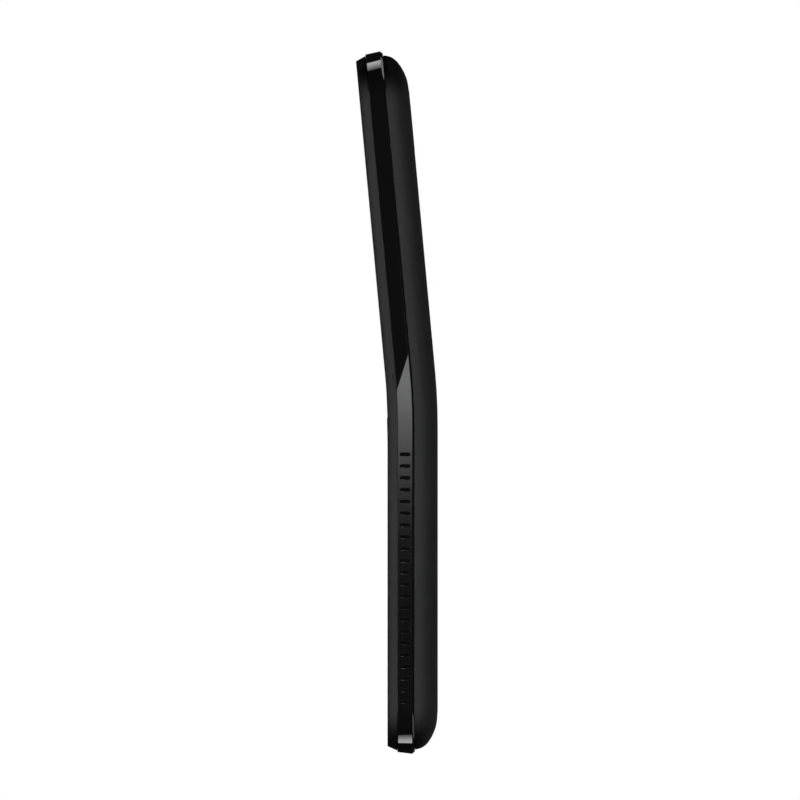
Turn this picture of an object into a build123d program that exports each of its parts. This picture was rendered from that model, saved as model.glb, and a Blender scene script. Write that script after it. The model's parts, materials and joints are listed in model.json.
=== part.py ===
from build123d import *
import os
from math import cos, radians, sin, tan

os.makedirs("parts", exist_ok=True)

# Overall form. Lengths in millimetres, angles in degrees. Depths run from the front face to the back.
body_width = 53.0
bend_height = 64.2
upper_length = 63.7
bend_angle = 5.3
bend_radius = 100.0
corner_radius = 7.0
front_depth = 1.8
band_depth = 3.1
rear_depth = 4.27

# Gaps
parting_gap = 0.12
fit_gap = 0.1
running_gap = 0.2
rest_gap = 0.05
cut_overrun = 1.0

# Front housing
front_side_step = 0.3
front_end_step = 0.6
front_end_bevel = 0.8
front_side_bevel = 1.3
front_side_shares = ((1, 0), (0.62, 0.02), (0.33, 0.22), (0, 1))
ledge_thickness = 0.5
deck_sink = 0.45
deck_thickness = 0.8
field_margin = 0.8
field_radius = 4.0
boss_radius = 1.4

# Lips that close the parting gaps from inside
lip_inset = 1.0
lip_thickness = 0.2
lip_height = 0.2

# Side band and its grip trims
band_wall = 1.25
band_draft = 0.32
band_chamfer = 0.36
trim_thickness = 0.7
trim_rear_margin = 0.06
trim_end_height = 7.9
trim_tip_reach = 7.9
trim_heel_reach = 1.8
grip_pitch = 2.15
grip_first_height = 9.45
grip_top_gap = 9.3
grip_slot_length = 2.05
grip_slot_width = 0.76
port_width = 7.3
port_height = 2.1
port_radius = 0.6
mic_hole_radius = 0.5

# Rear cover
rear_side_step = 0.25
rear_end_step = 0.8
crown_side = 14.0
crown_end = 7.1
cover_wall = 1.0
crown_turn_shares = (0, 0.22, 0.44, 0.65, 0.83, 1)
hollow_turn_shares = (0, 0.3, 0.6, 1)
cover_clearance = 0.55
tab_thickness = 0.8
tab_length = 5.0
tab_root = 0.8
tab_wall_bite = 0.3
lower_tab_shares = (0.2, 0.78)
upper_tab_shares = (0.3, 0.74)
sound_slot_count = 5
sound_slot_pitch = 1.7
sound_slot_width = 0.8
sound_slot_length = 8.0
window_lip = 0.5

# Display and earpiece
lens_sink = 0.1
lens_thickness = 0.8
lens_side_border = 1.9
lens_end_border = 2.2
lens_bend_reach = 2.4
lens_radius = 3.0
gasket_thickness = 0.1
gasket_width = 1.6
window_side_border = 4.05
window_rise = 1.8
window_radius = 0.8
ear_zone = 6.2
ear_room = 1.4
ear_slot_length = 11.0
ear_slot_width = 1.3
ear_mesh_margin = 0.4
ear_mesh_thickness = 0.08
earpiece_length = 12.0
earpiece_radius = 1.2
lcd_border = 0.9
lcd_thickness = 1.15
polariser_thickness = 0.3
tray_wall = 0.4

# Keypad
column_count = 3
row_count = 4
field_side_border = 1.5
field_bend_reach = 2.0
chin_length = 5.5
navigation_length = 17.6
navigation_width = 17.0
navigation_radius = 5.0
navigation_slit = 0.4
select_width = 8.0
select_length = 7.4
select_radius = 2.6
key_web = 0.8
key_sink = 0.1
key_radius = 1.3
key_edge = 0.25
flange_reach = 0.4
flange_thickness = 0.35
key_travel = 0.3
membrane_thickness = 0.3
membrane_margin = 0.3
membrane_radius = 2.0
nub_radius = 1.0
nub_height = 0.25
nub_sides = 8
dome_radius = 1.9
dome_top_radius = 1.1
dome_height = 0.2
dome_sides = 8
key_board_thickness = 0.6
prong_margin = 0.55
prong_length = 3.4
led_length = 1.6
led_width = 0.8
led_height = 0.4

# Chassis, battery and flexible circuits
plate_thickness = 0.6
chassis_wall = 1.0
rim_drop = 0.15
bay_wall = 0.8
bay_height = 2.2
battery_side_gap = 9.25
battery_bend_gap = 6.2
battery_end_gap = 10.4
battery_radius = 1.5
contact_width = 9.0
contact_length = 3.0
contact_count = 3
contact_pitch = 2.4
contact_blade_width = 0.9
contact_blade_reach = 0.6
flex_thickness = 0.15
flex_width = 9.0
flex_inset = 10.35
flex_bend = 0.4
flex_lead = 0.8
flex_fold = 1.3
flex_margin = 0.4
flex_slot_length = 6.6

# Socket, microphone and screws
socket_width = 7.5
socket_height = 2.4
socket_length = 5.0
socket_wall = 0.28
tongue_width = 3.8
tongue_height = 0.6
tongue_length = 3.6
mic_width = 3.0
mic_length = 2.4
mic_height = 0.8
mic_inset = 13.75
top_screw_inset = 5.0
bend_screw_inset = 3.6
low_screw_inset = 7.0
screw_end_inset = 4.1
screw_radius = 0.6
screw_bite = 1.6
head_radius = 1.25
head_height = 0.6
recess_radius = 0.6
recess_depth = 0.35
recess_sides = 6

# Main board and what stands on it
main_board_side_gap = 0.65
main_board_low = 0.6
main_board_end_inset = 8.8
main_board_thickness = 0.8
main_board_radius = 2.0
card_width = 12.0
socket_row_border = 1.7
socket_row_length = 12.0
socket_row_height = 1.25
socket_row_rise = 1.4
socket_row_gap = 1.0
card_slot_height = 0.7
card_slot_wall = 0.8
speaker_width = 14.0
speaker_length = 9.0
speaker_radius = 2.0
speaker_row_share = 0.42
speaker_height_share = 0.96
speaker_rim = 0.8
speaker_rim_height = 0.3
shield_border = 4.2
shield_length = 9.6
shield_gap = 3.1
shield_row_share = 0.66
shield_height = 1.4
sheet_thickness = 0.2
camera_width = 6.6
camera_row_share = 0.89
camera_base_share = 0.6
barrel_radius = 2.4
pupil_radius = 0.9
pupil_depth = 0.4
camera_window_radius = 3.4
cover_window_thickness = 0.7
flash_across = 7.4
flash_width = 2.4
flash_height = 1.2
flash_window_radius = 1.5
motor_radius = 1.3
motor_length = 7.6
motor_border = 3.7
shaft_radius = 0.35
shaft_seat = 1.8
weight_radius = 1.1
weight_length = 2.4
weight_gap = 0.4
antenna_screw_gap = 3.4
antenna_length = 4.2
antenna_thickness = 0.25
antenna_slit = 0.8
antenna_slit_share = 0.7
antenna_slit_count = 4
antenna_carrier_height = 0.9
antenna_end_inset = 6.6

# Halves and the bend between them
LOWER, MIDDLE, UPPER = -1, 0, 1
bend_turn = radians(bend_angle)
bend_tangent = bend_radius * tan(bend_turn / 2)
straight = {LOWER: bend_height - bend_tangent, UPPER: upper_length - bend_tangent}
bend_start = straight[LOWER]
thickness = front_depth + band_depth + rear_depth
face_inset = front_end_step + front_end_bevel
lean = bend_radius * (1 - cos(bend_turn)) + (straight[UPPER] - face_inset) * sin(bend_turn)
front_y = (lean - thickness) / 2
bend_center = (front_y - bend_radius, bend_start)
bend_axis = Axis((0, front_y - bend_radius, bend_start), (1, 0, 0))
half_width = body_width / 2
face_half_width = half_width - front_side_step - front_side_bevel
face_top = straight[UPPER] - face_inset
face_low = straight[LOWER] - face_inset

# Places on the upper face
lens_width = 2 * (face_half_width - lens_side_border)
lens_low = -lens_bend_reach
lens_top = face_top - lens_end_border
lens_length = lens_top - lens_low
lens_middle = (lens_top + lens_low) / 2
lens_seat = lens_sink + lens_thickness + gasket_thickness
ledge_depth = lens_seat + ledge_thickness
window_width = lens_width - 2 * window_side_border
window_length = lens_length - window_rise - ear_zone
window_middle = lens_low + window_rise + window_length / 2
ear_place = lens_top - ear_zone / 2
earpiece_width = ear_zone - lcd_border - ear_room
lcd_width = window_width + 2 * lcd_border
lcd_length = window_length + 2 * lcd_border
lcd_low = window_middle - lcd_length / 2
lcd_depth = ledge_depth + rest_gap

# Places on the lower face
field_width = 2 * (face_half_width - field_side_border)
field_top = field_bend_reach
field_low = chin_length - face_low
field_length = field_top - field_low
field_middle = (field_top + field_low) / 2
key_spacing = key_web + 2 * running_gap
column_pitch = field_width / column_count
row_pitch = (field_length - navigation_length) / row_count
key_width = column_pitch - key_spacing
key_length = row_pitch - key_spacing
side_key_width = (field_width - navigation_width - 3 * key_spacing) / 2
side_key_length = navigation_length / 2 - key_spacing
side_key_place = (field_width - side_key_width - key_spacing) / 2
navigation_place = field_top - navigation_length / 2
ring_length = navigation_length - key_spacing
direction_across = (navigation_width + select_width) / 4
direction_along = (ring_length + select_length) / 4

# Layers from the keys and the display back to the chassis plate
deck_depth = deck_sink + deck_thickness
flange_depth = deck_depth + fit_gap
key_base = flange_depth + flange_thickness
membrane_depth = key_base + key_travel + rest_gap
nub_depth = membrane_depth + membrane_thickness
dome_depth = nub_depth + nub_height + rest_gap
key_board_depth = dome_depth + dome_height
key_board_back = key_board_depth + key_board_thickness
plate_depth = key_board_back + fit_gap
plate_back = plate_depth + plate_thickness
backlight_depth = lcd_depth + lcd_thickness
backlight_thickness = plate_depth - fit_gap - backlight_depth
membrane_width = field_width + 2 * membrane_margin
membrane_length = field_length + 2 * membrane_margin

# Shells
band_front = front_depth + parting_gap
band_back = front_depth + band_depth
band_corner = band_back - band_chamfer
cover_front = band_back + parting_gap
cover_half_width = half_width - rear_side_step
chassis_step = band_wall + fit_gap
chassis_half_width = half_width - chassis_step
chassis_front = front_depth + fit_gap
chassis_back = band_back - rim_drop
hollow_step = chassis_step + chassis_wall
hollow_half_width = half_width - hollow_step
hollow_radius = corner_radius - hollow_step
grip_count = int((bend_height - grip_first_height - grip_top_gap) / grip_pitch) + 1

# Behind the chassis plate
battery_width = 2 * (half_width - battery_side_gap)
battery_length = bend_start - battery_bend_gap - battery_end_gap
battery_middle = -battery_bend_gap - battery_length / 2
battery_depth = plate_back + fit_gap
battery_thickness = thickness - cover_wall - cover_clearance - battery_depth
contact_middle = fit_gap - battery_bend_gap + contact_length / 2
main_board_width = 2 * (hollow_half_width - tab_thickness - main_board_side_gap)
main_board_length = straight[UPPER] - main_board_end_inset - main_board_low
main_board_depth = plate_back + fit_gap
main_board_back = main_board_depth + main_board_thickness
rear_room = thickness - cover_wall - cover_clearance - main_board_back
socket_row_width = main_board_width - 2 * socket_row_border
sim_width = (socket_row_width - card_width - 2 * socket_row_gap) / 2
socket_row = main_board_low + socket_row_rise + socket_row_length / 2
speaker_row = main_board_low + main_board_length * speaker_row_share
shield_row = main_board_low + main_board_length * shield_row_share
camera_row = main_board_low + main_board_length * camera_row_share
motor_depth = main_board_depth + motor_radius
motor_end = main_board_width / 2 - motor_border
motor_start = motor_end - motor_length
weight_end = motor_start - weight_gap - weight_length
shield_low = shield_border - main_board_width / 2
shield_high = weight_end - shield_gap
shield_width = shield_high - shield_low
shield_across = (shield_low + shield_high) / 2
antenna_row = straight[UPPER] - antenna_end_inset
antenna_width = 2 * (hollow_half_width - top_screw_inset - head_radius - antenna_screw_gap)
antenna_depth = plate_back + antenna_carrier_height
port_depth = (band_front + band_corner) / 2
socket_low = band_wall + fit_gap
mic_place = hollow_half_width - mic_inset
flex_place = lcd_width / 2 - flex_inset
mic_row = field_low - membrane_margin - prong_length / 2
screw_rows = (
    (UPPER, face_top - screw_end_inset, hollow_half_width - top_screw_inset, ledge_depth),
    (MIDDLE, 0, hollow_half_width - bend_screw_inset, deck_depth),
    (LOWER, screw_end_inset - bend_start, hollow_half_width - low_screw_inset, deck_depth),
)

# Places and sizes of the keys
key_places = {}
for number, name in enumerate(("1", "2", "3", "4", "5", "6", "7", "8", "9", "star", "0", "hash")):
    row, column = divmod(number, column_count)
    across = (column - (column_count - 1) / 2) * column_pitch
    along = field_top - navigation_length - (row + 1 / 2) * row_pitch
    key_places["key_" + name] = (across, along, key_width, key_length)
for name, side, row in (("soft_left", -1, 1), ("soft_right", 1, 1), ("call", -1, -1), ("end", 1, -1)):
    along = navigation_place + row * navigation_length / 4
    key_places["key_" + name] = (side * side_key_place, along, side_key_width, side_key_length)
direction_turns = {"nav_up": 0, "nav_left": 90, "nav_down": 180, "nav_right": 270}
press_points = [(across, along) for across, along, width, length in key_places.values()]
press_points += [(0, navigation_place)]
press_points += [(side * direction_across, navigation_place) for side in (-1, 1)]
press_points += [(0, navigation_place + side * direction_along) for side in (-1, 1)]


def turn_of(half):
    return bend_turn * (half + 1) / 2


def half_point(half, depth, along):
    turn = turn_of(half)
    reach = bend_radius + depth
    y = bend_center[0] + reach * cos(turn) - along * sin(turn)
    return (y, bend_start + reach * sin(turn) + along * cos(turn))


def face_plane(half, depth):
    turn = turn_of(half)
    y, z = half_point(half, depth, 0)
    return Plane(origin=(0, y, z), x_dir=(1, 0, 0), z_dir=(0, -cos(turn), -sin(turn)))


def bent_solid(sections, ruled=True):
    with BuildPart() as solid:
        for half in (LOWER, UPPER):
            for depth, reach, step, radius in sections:
                with BuildSketch(face_plane(half, depth)) as section:
                    edge = Align.MIN if half == UPPER else Align.MAX
                    Rectangle(2 * reach, straight[half] - step, align=(Align.CENTER, edge))
                    corners = section.vertices().sort_by(Axis.Y)
                    fillet(corners[-2:] if half == UPPER else corners[:2], radius)
            loft(ruled=ruled)
            if half == LOWER:
                revolve(solid.faces().sort_by(Axis.Z)[-1], axis=bend_axis, revolution_arc=bend_angle)
    return solid.part


def bent_prism(near, far, reach, step, radius):
    return bent_solid([(near, reach, step, radius), (far, reach, step, radius)])


def bent_ring(near, far, inset, wall):
    inner = inset + wall
    with BuildPart() as ring:
        add(bent_prism(near, far, half_width - inset, inset, corner_radius - inset))
        add(bent_prism(near, far, half_width - inner, inner, corner_radius - inner), mode=Mode.SUBTRACT)
    return ring.part


def crowned_solid(near, wall, turn_shares, ruled):
    depth = thickness - wall - near
    sections = []
    for share in turn_shares:
        turn = radians(90 * share)
        inward = 1 - cos(turn)
        reach = cover_half_width - wall - (crown_side - wall) * inward
        step = rear_end_step + wall + (crown_end - wall) * inward
        sections.append((near + depth * sin(turn), reach, step, corner_radius - wall / 2))
    return bent_solid(sections, ruled)


def side_outline(plane, margin):
    far = band_corner - trim_rear_margin
    low = trim_end_height - bend_start
    heel = bend_angle / 2 + trim_heel_reach / bend_radius * bend_angle / bend_turn
    with BuildSketch(plane) as outline:
        with BuildLine():
            front = Line(half_point(LOWER, band_front, low), half_point(LOWER, band_front, 0))
            front_bow = CenterArc(bend_center, bend_radius + band_front, 0, heel)
            slant = Line(front_bow @ 1, half_point(UPPER, far, trim_tip_reach - bend_tangent))
            Line(slant @ 1, half_point(UPPER, far, 0))
            rear_bow = CenterArc(bend_center, bend_radius + far, bend_angle, -bend_angle)
            rear = Line(rear_bow @ 1, half_point(LOWER, far, low))
            Line(rear @ 1, front @ 0)
        make_face()
        if margin:
            offset(amount=margin, kind=Kind.INTERSECTION)
    return outline.sketch


def write(builder, label):
    builder.part.label = label
    export_step(builder.part, "parts/" + label + ".step")


# Outer shells
with BuildPart() as front_housing:
    rim_sections = []
    for depth_share, bevel_share in front_side_shares:
        inset = front_side_step + front_side_bevel * bevel_share
        step = front_end_step + front_end_bevel * (1 - depth_share)
        rim_sections.append((front_depth * depth_share, half_width - inset, step, corner_radius - inset))
    add(bent_solid(rim_sections, ruled=False))
    add(bent_ring(front_depth - lip_height, front_depth + lip_height, lip_inset, lip_thickness))
    with BuildSketch(face_plane(UPPER, lens_seat)):
        with Locations((0, lens_middle)):
            RectangleRounded(lens_width + 2 * fit_gap, lens_length + 2 * fit_gap, lens_radius)
    extrude(amount=lens_seat + cut_overrun, mode=Mode.SUBTRACT)
    with BuildSketch(face_plane(UPPER, front_depth + cut_overrun)):
        with Locations((0, window_middle)):
            RectangleRounded(window_width, window_length, window_radius)
        with Locations((0, ear_place)):
            SlotOverall(ear_slot_length, ear_slot_width)
    extrude(amount=front_depth + cut_overrun, mode=Mode.SUBTRACT)
    with BuildSketch(face_plane(UPPER, front_depth + cut_overrun)):
        with Locations((0, window_middle)):
            Rectangle(lcd_width + 2 * fit_gap, lcd_length + 2 * fit_gap)
        with Locations((0, ear_place)):
            Rectangle(earpiece_length + 2 * fit_gap, earpiece_width + 2 * fit_gap)
    extrude(amount=front_depth + cut_overrun - ledge_depth, mode=Mode.SUBTRACT)
    with BuildSketch(face_plane(LOWER, deck_sink)):
        with Locations((0, field_middle)):
            RectangleRounded(field_width, field_length, field_radius)
    extrude(amount=deck_sink + cut_overrun, mode=Mode.SUBTRACT)
    with BuildSketch(face_plane(LOWER, deck_depth + cut_overrun)):
        for across, along, width, length in key_places.values():
            with Locations((across, along)):
                hole_width = width + 2 * running_gap
                hole_length = length + 2 * running_gap
                RectangleRounded(hole_width, hole_length, key_radius + running_gap)
        with Locations((0, navigation_place)):
            ring_reach = navigation_radius + running_gap
            RectangleRounded(navigation_width + 2 * running_gap, ring_length + 2 * running_gap, ring_reach)
    extrude(amount=deck_depth + cut_overrun, mode=Mode.SUBTRACT)
    with BuildSketch(face_plane(LOWER, front_depth + cut_overrun)):
        with Locations((0, field_middle)):
            Rectangle(field_width + 2 * field_margin, field_length + 2 * field_margin)
    extrude(amount=front_depth + cut_overrun - deck_depth, mode=Mode.SUBTRACT)
    for half, along, across, root in screw_rows:
        with BuildSketch(face_plane(half, plate_depth - fit_gap)):
            with Locations((-across, along), (across, along)):
                Circle(boss_radius)
        extrude(amount=plate_depth - fit_gap - root)
        with BuildSketch(face_plane(half, plate_depth)):
            with Locations((-across, along), (across, along)):
                Circle(screw_radius + rest_gap)
        extrude(amount=screw_bite + fit_gap, mode=Mode.SUBTRACT)
write(front_housing, "front_housing")

with BuildPart() as side_band:
    add(bent_solid([
        (band_front, half_width - band_draft, band_draft, corner_radius - band_draft),
        (band_corner, half_width, 0, corner_radius),
        (band_back, half_width - band_chamfer, band_chamfer, corner_radius - band_chamfer),
    ]))
    near = band_front - cut_overrun
    far = band_back + cut_overrun
    inside = bent_prism(near, far, half_width - band_wall, band_wall, corner_radius - band_wall)
    add(inside, mode=Mode.SUBTRACT)
    groove = lip_inset - rest_gap
    for near, far in (
        (band_front - cut_overrun, front_depth + lip_height + rest_gap),
        (cover_front - lip_height - rest_gap, band_back + cut_overrun),
    ):
        lip_groove = bent_prism(near, far, half_width - groove, groove, corner_radius - groove)
        add(lip_groove, mode=Mode.SUBTRACT)
    seat = half_width - trim_thickness - fit_gap
    for side in (-1, 1):
        trim_seat = side_outline(Plane.YZ.offset(side * seat), fit_gap)
        extrude(trim_seat, amount=side * (trim_thickness + cut_overrun), mode=Mode.SUBTRACT)
    with BuildSketch(Plane.XY.offset(-cut_overrun)):
        with Locations((0, front_y + port_depth)):
            RectangleRounded(port_width, port_height, port_radius)
        with Locations((mic_place, front_y + port_depth)):
            Circle(mic_hole_radius)
    extrude(amount=band_wall + 2 * cut_overrun, mode=Mode.SUBTRACT)
write(side_band, "side_band")

slot_y = front_y + (band_front + band_corner - trim_rear_margin) / 2
slot_z = grip_first_height + grip_pitch * (grip_count - 1) / 2
for side, label in ((1, "grip_trim_right"), (-1, "grip_trim_left")):
    trim_plane = Plane.YZ.offset(side * (half_width - trim_thickness))
    with BuildPart() as grip_trim:
        extrude(side_outline(trim_plane, 0), amount=side * trim_thickness)
        with BuildSketch(trim_plane):
            with Locations((slot_y, slot_z)):
                with GridLocations(grip_pitch, grip_pitch, 1, grip_count):
                    SlotOverall(grip_slot_length, grip_slot_width)
        extrude(amount=side * (trim_thickness + cut_overrun), mode=Mode.SUBTRACT)
    write(grip_trim, label)

with BuildPart() as rear_cover:
    add(crowned_solid(cover_front, 0, crown_turn_shares, ruled=False))
    add(crowned_solid(cover_front, cover_wall, hollow_turn_shares, ruled=True), mode=Mode.SUBTRACT)
    add(bent_ring(cover_front - lip_height, cover_front + lip_height, lip_inset, lip_thickness))
    tab_outer = hollow_half_width - running_gap
    tab_middle = tab_outer - tab_thickness / 2
    root_outer = cover_half_width - cover_wall + tab_wall_bite
    root_middle = (root_outer + tab_outer - tab_thickness) / 2
    root_width = root_outer - tab_outer + tab_thickness
    tab_rows = [(LOWER, -share * straight[LOWER]) for share in lower_tab_shares]
    tab_rows += [(UPPER, share * straight[UPPER]) for share in upper_tab_shares]
    for half, along in tab_rows:
        with BuildSketch(face_plane(half, cover_front + tab_root)):
            with Locations((-root_middle, along), (root_middle, along)):
                Rectangle(root_width, tab_length)
        extrude(amount=tab_root)
        with BuildSketch(face_plane(half, cover_front + tab_root)):
            with Locations((-tab_middle, along), (tab_middle, along)):
                Rectangle(tab_thickness, tab_length)
        extrude(amount=cover_front + tab_root - plate_back - running_gap)
    with BuildSketch(face_plane(UPPER, thickness - cover_window_thickness)):
        with Locations((0, camera_row)):
            Circle(camera_window_radius + fit_gap)
        with Locations((flash_across, camera_row)):
            Circle(flash_window_radius + fit_gap)
    extrude(amount=-cover_window_thickness - cut_overrun, mode=Mode.SUBTRACT)
    with BuildSketch(face_plane(UPPER, thickness - cover_wall - cut_overrun)):
        with Locations((0, camera_row)):
            Circle(camera_window_radius - window_lip)
        with Locations((flash_across, camera_row)):
            Circle(flash_window_radius - window_lip)
        with Locations((0, speaker_row)):
            with GridLocations(sound_slot_pitch, sound_slot_pitch, 1, sound_slot_count):
                SlotOverall(sound_slot_length, sound_slot_width)
    extrude(amount=-cover_wall - 2 * cut_overrun, mode=Mode.SUBTRACT)
write(rear_cover, "rear_cover")

for across, radius, label in (
    (0, camera_window_radius, "camera_window"),
    (flash_across, flash_window_radius, "flash_window"),
):
    with BuildPart() as cover_window:
        with BuildSketch(face_plane(UPPER, thickness)):
            with Locations((across, camera_row)):
                Circle(radius)
        extrude(amount=cover_window_thickness)
    write(cover_window, label)

# Display and earpiece
with BuildPart() as display_lens:
    with BuildSketch(face_plane(UPPER, lens_sink)):
        with Locations((0, lens_middle)):
            RectangleRounded(lens_width, lens_length, lens_radius)
        with Locations((0, ear_place)):
            SlotOverall(ear_slot_length, ear_slot_width, mode=Mode.SUBTRACT)
    extrude(amount=-lens_thickness)
write(display_lens, "display_lens")

with BuildPart() as lens_gasket:
    with BuildSketch(face_plane(UPPER, lens_seat)):
        with Locations((0, lens_middle)):
            RectangleRounded(lens_width, lens_length, lens_radius)
            inner_width = lens_width - 2 * gasket_width
            inner_length = lens_length - 2 * gasket_width
            RectangleRounded(inner_width, inner_length, lens_radius - gasket_width, mode=Mode.SUBTRACT)
    extrude(amount=gasket_thickness)
write(lens_gasket, "lens_gasket")

with BuildPart() as earpiece_mesh:
    with BuildSketch(face_plane(UPPER, lens_seat)):
        with Locations((0, ear_place)):
            SlotOverall(ear_slot_length + 2 * ear_mesh_margin, ear_slot_width + 2 * ear_mesh_margin)
    extrude(amount=ear_mesh_thickness)
write(earpiece_mesh, "earpiece_mesh")

with BuildPart() as earpiece:
    with BuildSketch(face_plane(UPPER, plate_depth - fit_gap)):
        with Locations((0, ear_place)):
            RectangleRounded(earpiece_length, earpiece_width, earpiece_radius)
    extrude(amount=plate_depth - fit_gap - ledge_depth - rest_gap)
write(earpiece, "earpiece")

with BuildPart() as lcd_panel:
    with BuildSketch(face_plane(UPPER, backlight_depth)):
        with Locations((0, window_middle)):
            Rectangle(lcd_width, lcd_length)
    extrude(amount=lcd_thickness - polariser_thickness)
    with BuildSketch(face_plane(UPPER, lcd_depth + polariser_thickness)):
        with Locations((0, window_middle)):
            Rectangle(window_width, window_length)
    extrude(amount=polariser_thickness)
write(lcd_panel, "lcd_panel")

with BuildPart() as backlight_unit:
    with BuildSketch(face_plane(UPPER, plate_depth - fit_gap)):
        with Locations((0, window_middle)):
            Rectangle(lcd_width, lcd_length)
    extrude(amount=backlight_thickness)
    with BuildSketch(face_plane(UPPER, backlight_depth + backlight_thickness - tray_wall)):
        with Locations((0, window_middle)):
            Rectangle(lcd_width - 2 * tray_wall, lcd_length - 2 * tray_wall)
    extrude(amount=backlight_thickness, mode=Mode.SUBTRACT)
write(backlight_unit, "backlight_unit")

# Keypad
for label, (across, along, width, length) in key_places.items():
    with BuildPart() as key:
        with BuildSketch(face_plane(LOWER, key_base)):
            with Locations((across, along)):
                Rectangle(width + 2 * flange_reach, length + 2 * flange_reach)
        extrude(amount=flange_thickness)
        with BuildSketch(face_plane(LOWER, flange_depth)):
            with Locations((across, along)):
                RectangleRounded(width, length, key_radius)
        extrude(amount=flange_depth - key_sink)
        chamfer(key.faces().sort_by(Axis.Y)[0].edges(), key_edge)
    write(key, label)

wedge_apex = navigation_slit / 2 ** 0.5
wedge_points = (
    (0, wedge_apex),
    (navigation_width, wedge_apex + navigation_width),
    (-navigation_width, wedge_apex + navigation_width),
)
for label, turn in direction_turns.items():
    with BuildPart() as direction_key:
        for depth, height, reach in (
            (key_base, flange_thickness, flange_reach),
            (flange_depth, flange_depth - key_sink, 0),
        ):
            with BuildSketch(face_plane(LOWER, depth)):
                with Locations((0, navigation_place)):
                    width = navigation_width + 2 * reach
                    RectangleRounded(width, ring_length + 2 * reach, navigation_radius + reach)
                    hole_width = select_width + 2 * running_gap
                    hole_length = select_length + 2 * running_gap
                    hole_radius = select_radius + running_gap
                    RectangleRounded(hole_width, hole_length, hole_radius, mode=Mode.SUBTRACT)
                    Polygon(*wedge_points, rotation=turn, align=None, mode=Mode.INTERSECT)
            extrude(amount=height)
        chamfer(direction_key.faces().sort_by(Axis.Y)[0].edges(), key_edge)
    write(direction_key, label)

with BuildPart() as nav_select:
    with BuildSketch(face_plane(LOWER, key_base)):
        with Locations((0, navigation_place)):
            RectangleRounded(select_width, select_length, select_radius)
    extrude(amount=key_base - key_sink)
    chamfer(nav_select.faces().sort_by(Axis.Y)[0].edges(), key_edge)
write(nav_select, "nav_select")

with BuildPart() as keypad_membrane:
    with BuildSketch(face_plane(LOWER, membrane_depth)):
        with Locations((0, field_middle)):
            RectangleRounded(membrane_width, membrane_length, membrane_radius)
    extrude(amount=-membrane_thickness)
    with BuildSketch(face_plane(LOWER, nub_depth)):
        with Locations(*press_points):
            RegularPolygon(nub_radius, nub_sides)
    extrude(amount=-nub_height)
write(keypad_membrane, "keypad_membrane")

with BuildPart() as metal_domes:
    for point in press_points:
        for depth, radius in ((key_board_depth, dome_radius), (dome_depth, dome_top_radius)):
            with BuildSketch(face_plane(LOWER, depth)):
                with Locations(point):
                    RegularPolygon(radius, dome_sides)
        loft(ruled=True)
write(metal_domes, "metal_domes")

with BuildPart() as key_board:
    with BuildSketch(face_plane(LOWER, key_board_depth)):
        with Locations((0, field_middle)):
            RectangleRounded(membrane_width, membrane_length, membrane_radius)
        prong_low = socket_width / 2 + fit_gap
        prong_width = mic_place + mic_width / 2 + prong_margin - prong_low
        prong_place = prong_low + prong_width / 2
        prong_top = field_low - membrane_margin + membrane_radius
        with Locations((-prong_place, prong_top), (prong_place, prong_top)):
            Rectangle(prong_width, prong_length + membrane_radius, align=(Align.CENTER, Align.MAX))
    extrude(amount=-key_board_thickness)
write(key_board, "key_board")

with BuildPart() as key_leds:
    with BuildSketch(face_plane(LOWER, key_board_depth)):
        with Locations((0, field_low + 2 * row_pitch)):
            with GridLocations(column_pitch, row_pitch, column_count - 1, row_count - 1):
                Rectangle(led_length, led_width)
    extrude(amount=led_height)
write(key_leds, "key_leds")

with BuildPart() as usb_socket:
    with BuildSketch(Plane.XY.offset(socket_low)):
        with Locations((0, front_y + port_depth)):
            RectangleRounded(socket_width, socket_height, port_radius)
    extrude(amount=socket_length)
    with BuildSketch(Plane.XY.offset(socket_low)):
        with Locations((0, front_y + port_depth)):
            mouth_width = socket_width - 2 * socket_wall
            mouth_height = socket_height - 2 * socket_wall
            RectangleRounded(mouth_width, mouth_height, port_radius - socket_wall)
    extrude(amount=socket_length - 2 * socket_wall, mode=Mode.SUBTRACT)
    with BuildSketch(Plane.XY.offset(socket_low + socket_length - socket_wall)):
        with Locations((0, front_y + port_depth)):
            Rectangle(tongue_width, tongue_height)
    extrude(amount=-tongue_length)
write(usb_socket, "usb_socket")

with BuildPart() as microphone:
    with BuildSketch(face_plane(LOWER, key_board_back)):
        with Locations((mic_place, mic_row)):
            Rectangle(mic_width, mic_length)
    extrude(amount=-mic_height)
write(microphone, "microphone")

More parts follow.
